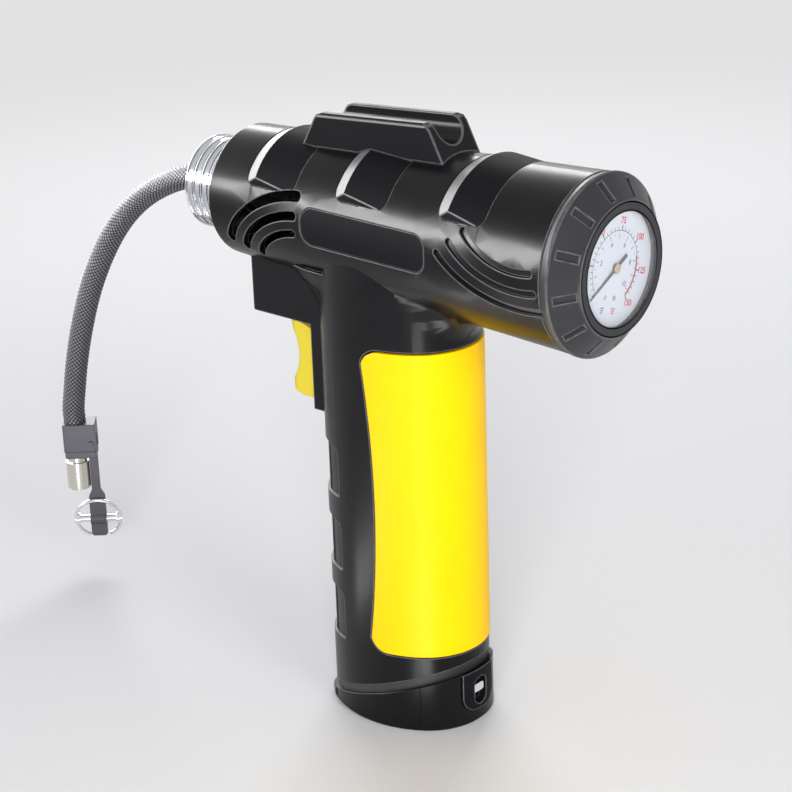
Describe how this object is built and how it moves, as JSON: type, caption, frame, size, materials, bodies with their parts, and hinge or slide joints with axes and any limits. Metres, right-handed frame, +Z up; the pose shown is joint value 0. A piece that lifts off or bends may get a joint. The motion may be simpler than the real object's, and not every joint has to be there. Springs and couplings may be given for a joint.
{
  "type": "portable tire inflator",
  "caption": "Cordless pistol-shaped tyre inflator with a dial gauge, hose clip, trigger, battery foot and braided hose ending in a lever chuck.",
  "frame": {"origin": "middle of the flat underside of the battery foot, on the axis of the handle", "axes": "+X along the barrel towards the dial gauge, -X towards the nose and hose, +Z up the handle, the side plate faces -Y"},
  "size_m": [0.2839, 0.0612, 0.2245],
  "materials": {
    "shell": "polished black moulding",
    "trim": "fine matte black",
    "yellow": "satin yellow",
    "bezel": "satin black",
    "dark_chrome": "dark bright plate",
    "chrome": "bright plate",
    "nickel": "dull nickel",
    "steel": "bright steel",
    "brass": "turned",
    "aluminium": "die cast",
    "lens": "clear polycarbonate",
    "dial": "white enamel",
    "black_metal": "black enamel",
    "rubber": "black rubber",
    "braid": "braided cover over a rubber hose",
    "magnet": "ferrite",
    "copper": "enamelled copper on a laminated core",
    "nylon": "natural nylon",
    "board": "green laminate",
    "cell": "wrapped steel cell",
    "air_line": "translucent nylon tube"
  },
  "bodies": {
    "body": {"housing_left": "shell", "housing_right": "shell", "housing_screws": "steel", "side_plate": "trim", "hose_clip": "trim", "grip_panel": "yellow", "trigger_housing": "trim", "trigger_spring": "steel", "switch_body": "trim", "control_board": "board", "nose_collar": "dark_chrome", "outlet_fitting": "brass", "front_air_tube": "air_line", "gauge_air_tube": "air_line", "hose_gland": "rubber", "hose": "braid", "bezel": "bezel", "gauge_lens": "lens", "gauge_dial": "dial", "gauge_case": "black_metal", "bourdon_tube": "brass", "gauge_movement": "brass", "gauge_fitting": "brass", "motor_can": "steel", "motor_magnets": "magnet", "motor_endcap": "trim", "gearbox_bracket": "aluminium", "gear_axle": "steel", "cylinder": "aluminium", "cylinder_head": "aluminium", "head_screws": "steel", "contact_block": "trim", "chuck_body": "black_metal", "chuck_barrel": "nickel", "chuck_seal": "rubber", "lever_pin": "steel"},
    "trigger": {"trigger": "yellow"},
    "plunger": {"switch_plunger": "nylon"},
    "needle": {"needle": "black_metal"},
    "rotor": {"armature": "copper", "motor_shaft": "steel", "pinion": "brass"},
    "crank": {"crank_gear": "nylon", "crank_pin": "steel"},
    "piston": {"connecting_rod": "aluminium", "wrist_pin": "steel", "piston": "aluminium", "piston_seal": "rubber"},
    "battery": {"battery_foot": "trim", "foot_seal": "rubber", "battery_case": "trim", "battery_cells": "cell", "battery_contacts": "brass", "latch_frame": "trim", "release_spring": "steel"},
    "release_button": {"release_button": "chrome"},
    "lever": {"chuck_lever": "black_metal", "cross_pin": "chrome"},
    "ring": {"wire_ring": "chrome"}
  },
  "joints": [
    {"name": "trigger_pull", "type": "slide", "parent": "body", "child": "trigger", "axis": [1, 0, 0], "range_m": [0, 0.005], "stiffness_N_per_m": 400, "springref_m": -0.004, "deforming": ["trigger_spring"]},
    {"name": "plunger_push", "type": "slide", "parent": "body", "child": "plunger", "axis": [1, 0, 0], "range_m": [0, 0.001]},
    {"name": "needle_turn", "type": "hinge", "parent": "body", "child": "needle", "pos_m": [0.09, 0, 0.1855], "axis": [-1, 0, 0], "range_deg": [0, 270], "stiffness_Nm_per_rad": 0.00002},
    {"name": "motor_spin", "type": "hinge", "parent": "body", "child": "rotor", "pos_m": [0.04, 0, 0.194], "axis": [1, 0, 0], "continuous": true},
    {"name": "crank_spin", "type": "hinge", "parent": "body", "child": "crank", "pos_m": [0.013, 0, 0.17375], "axis": [1, 0, 0], "continuous": true},
    {"name": "piston_slide", "type": "slide", "parent": "body", "child": "piston", "axis": [0, 0, 1], "range_m": [0, 0.006]},
    {"name": "battery_slide", "type": "slide", "parent": "body", "child": "battery", "axis": [0, 0, -1], "range_m": [0, 0.084]},
    {"name": "release_press", "type": "slide", "parent": "battery", "child": "release_button", "axis": [0, 0, -1], "range_m": [0, 0.0025], "stiffness_N_per_m": 300, "springref_m": -0.002, "deforming": ["release_spring"]},
    {"name": "chuck_lever", "type": "hinge", "parent": "body", "child": "lever", "pos_m": [-0.17774, 0.00428, 0.0576], "axis": [0.6691, -0.7431, 0], "range_deg": [0, 90]},
    {"name": "ring_swing", "type": "hinge", "parent": "lever", "child": "ring", "pos_m": [-0.17774, 0.00428, 0.0216], "axis": [0.7431, 0.6691, 0], "range_deg": [0, 140]}
  ],
  "couplings": [
    {"joint": "plunger_push", "follows": "trigger_pull", "ratio": 0.2},
    {"joint": "crank_spin", "follows": "motor_spin", "ratio": -0.28571}
  ]
}
